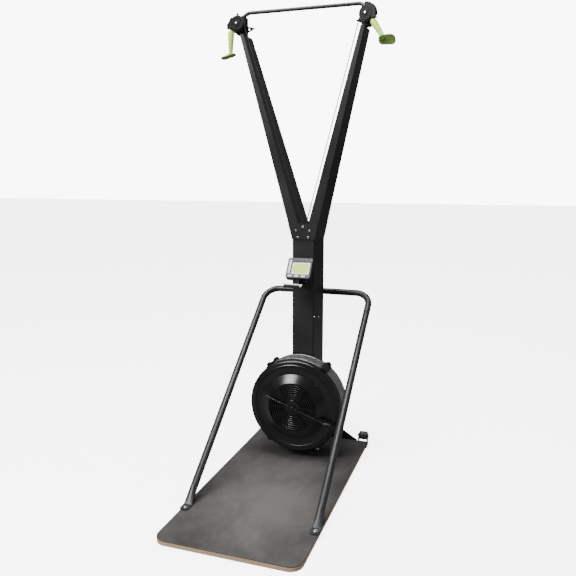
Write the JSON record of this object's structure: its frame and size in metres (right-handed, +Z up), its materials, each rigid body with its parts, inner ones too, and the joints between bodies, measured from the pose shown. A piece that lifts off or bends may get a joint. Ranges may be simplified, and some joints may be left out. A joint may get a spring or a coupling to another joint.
{
  "type": "ski trainer machine",
  "caption": "Standing ski exercise machine: deck, column forking into two arms, air fan brake, tilting monitor, brace tube, and two corded handles over pulleys.",
  "frame": {"origin": "centre of the deck's underside, on the floor", "axes": "+X the user's right as the user faces the column, +Y from the user to the column, +Z up"},
  "size_m": [0.8214, 1.2595, 2.1545],
  "materials": {
    "deck_wood": "clear-coated plywood edge",
    "deck_rubber": "matt scuffed",
    "black_paint": "satin powder coat",
    "steel": "zinc plated",
    "fan_black": "soft satin moulding",
    "mesh_steel": "perforated sheet",
    "inner_black": "matt",
    "grip_green": "soft grip",
    "base_green": "matt",
    "cord_black": "braided",
    "case_grey": "fine texture",
    "lcd": "clear cover over a reflective display",
    "button_white": "smooth",
    "board_green": "solder mask",
    "roller_grey": "smooth",
    "fan_grey": "moulded"
  },
  "bodies": {
    "frame": {"bearing_housings": "black_paint", "brace_bracket": "black_paint", "brace_clamp": "black_paint", "brace_tube": "black_paint", "column": "black_paint", "crotch_fairlead": "inner_black", "deck_board": "deck_wood", "deck_mat": "deck_rubber", "fan_back_housing": "fan_black", "fan_clips": "fan_black", "fan_front_cover": "fan_black", "fan_mesh_band": "mesh_steel", "frame_bolts": "steel", "gusset_bolts": "steel", "gusset_plates": "black_paint", "idler_pin": "steel", "left_arm": "black_paint", "left_cord_lead": "cord_black", "left_drive_cord": "cord_black", "left_pulley_bracket": "black_paint", "left_pulley_guard": "inner_black", "monitor_bracket": "black_paint", "monitor_hinge_pin": "steel", "pulley_head_bolts": "steel", "rear_cross_plate": "black_paint", "right_arm": "black_paint", "right_cord_lead": "cord_black", "right_drive_cord": "cord_black", "right_pulley_bracket": "black_paint", "right_pulley_guard": "inner_black", "shaft_bearings": "steel", "shock_cords": "cord_black", "spreader_bar": "black_paint", "wheel_axles": "steel", "wheel_brackets": "black_paint"},
    "flywheel": {"flywheel_shaft": "steel", "fan_wheel": "fan_grey"},
    "right_handle": {"right_handle_grip": "grip_green", "right_handle_base": "base_green"},
    "left_handle": {"left_handle_grip": "grip_green", "left_handle_base": "base_green"},
    "right_pulley_wheel": {"right_pulley": "inner_black"},
    "left_pulley_wheel": {"left_pulley": "inner_black"},
    "right_drum": {"right_cord_drum": "inner_black"},
    "left_drum": {"left_cord_drum": "inner_black"},
    "right_idler_wheel": {"right_idler": "inner_black"},
    "left_idler_wheel": {"left_idler": "inner_black"},
    "damper": {"damper_plate": "fan_black", "damper_lever": "fan_black"},
    "monitor": {"monitor_case": "case_grey", "monitor_back": "case_grey", "monitor_circuit_board": "board_green", "monitor_screen": "lcd", "device_ledge": "case_grey"},
    "ledge_clamp_knob": {"ledge_knob": "button_white"},
    "left_key": {"left_button": "button_white"},
    "middle_key": {"middle_button": "button_white"},
    "right_key": {"right_button": "button_white"},
    "right_roller": {"right_wheel": "roller_grey"},
    "left_roller": {"left_wheel": "roller_grey"}
  },
  "joints": [
    {"name": "flywheel_spin", "type": "hinge", "parent": "frame", "child": "flywheel", "pos_m": [0, 0.35, 0.294], "axis": [0, 1, 0], "continuous": true},
    {"name": "right_handle_pull", "type": "slide", "parent": "frame", "child": "right_handle", "axis": [0, 0, -1], "range_m": [0, 1.2], "stiffness_N_per_m": 20, "springref_m": -0.5, "deforming": ["right_cord_lead"]},
    {"name": "right_pulley_turn", "type": "hinge", "parent": "frame", "child": "right_pulley_wheel", "pos_m": [0.304, 0.331, 2.09], "axis": [0.2079, 0.9781, 0], "range_deg": [0, 2380]},
    {"name": "right_drum_turn", "type": "hinge", "parent": "frame", "child": "right_drum", "pos_m": [0, 0.46, 0.294], "axis": [0, 1, 0], "range_deg": [-3020, 0]},
    {"name": "right_idler_turn", "type": "hinge", "parent": "frame", "child": "right_idler_wheel", "pos_m": [-0.0318, 0.444, 0.95], "axis": [0, 1, 0], "range_deg": [0, 5710]},
    {"name": "left_handle_pull", "type": "slide", "parent": "frame", "child": "left_handle", "axis": [0, 0, -1], "range_m": [0, 1.2], "stiffness_N_per_m": 20, "springref_m": -0.5, "deforming": ["left_cord_lead"]},
    {"name": "left_pulley_turn", "type": "hinge", "parent": "frame", "child": "left_pulley_wheel", "pos_m": [-0.304, 0.331, 2.09], "axis": [-0.2079, 0.9781, 0], "range_deg": [-2380, 0]},
    {"name": "left_drum_turn", "type": "hinge", "parent": "frame", "child": "left_drum", "pos_m": [0, 0.522, 0.294], "axis": [0, 1, 0], "range_deg": [-3020, 0]},
    {"name": "left_idler_turn", "type": "hinge", "parent": "frame", "child": "left_idler_wheel", "pos_m": [-0.0318, 0.506, 0.95], "axis": [0, 1, 0], "range_deg": [0, 5710]},
    {"name": "damper_turn", "type": "hinge", "parent": "frame", "child": "damper", "pos_m": [0, 0.232, 0.294], "axis": [0, 1, 0], "range_deg": [-30, 60]},
    {"name": "monitor_tilt", "type": "hinge", "parent": "frame", "child": "monitor", "pos_m": [0, 0.33, 0.884], "axis": [1, 0, 0], "range_deg": [-4, 25]},
    {"name": "ledge_knob_turn", "type": "hinge", "parent": "monitor", "child": "ledge_clamp_knob", "pos_m": [0.027, 0.277, 0.889], "axis": [0, 1, 0], "continuous": true},
    {"name": "left_button_press", "type": "slide", "parent": "monitor", "child": "left_key", "axis": [0, 0.8231, -0.5678], "range_m": [0, 0.0008], "stiffness_N_per_m": 600, "springref_m": -0.001},
    {"name": "middle_button_press", "type": "slide", "parent": "monitor", "child": "middle_key", "axis": [0, 0.8231, -0.5678], "range_m": [0, 0.0008], "stiffness_N_per_m": 600, "springref_m": -0.001},
    {"name": "right_button_press", "type": "slide", "parent": "monitor", "child": "right_key", "axis": [0, 0.8231, -0.5678], "range_m": [0, 0.0008], "stiffness_N_per_m": 600, "springref_m": -0.001},
    {"name": "right_wheel_spin", "type": "hinge", "parent": "frame", "child": "right_roller", "pos_m": [0.273, 0.608, 0.043], "axis": [1, 0, 0], "continuous": true},
    {"name": "left_wheel_spin", "type": "hinge", "parent": "frame", "child": "left_roller", "pos_m": [-0.273, 0.608, 0.043], "axis": [1, 0, 0], "continuous": true}
  ],
  "couplings": [
    {"joint": "right_pulley_turn", "follows": "right_handle_pull", "rad_per_m": 34.483},
    {"joint": "right_drum_turn", "follows": "right_handle_pull", "rad_per_m": -43.86},
    {"joint": "right_idler_turn", "follows": "right_handle_pull", "rad_per_m": 82.935},
    {"joint": "left_pulley_turn", "follows": "left_handle_pull", "rad_per_m": -34.483},
    {"joint": "left_drum_turn", "follows": "left_handle_pull", "rad_per_m": -43.86},
    {"joint": "left_idler_turn", "follows": "left_handle_pull", "rad_per_m": 82.935}
  ]
}
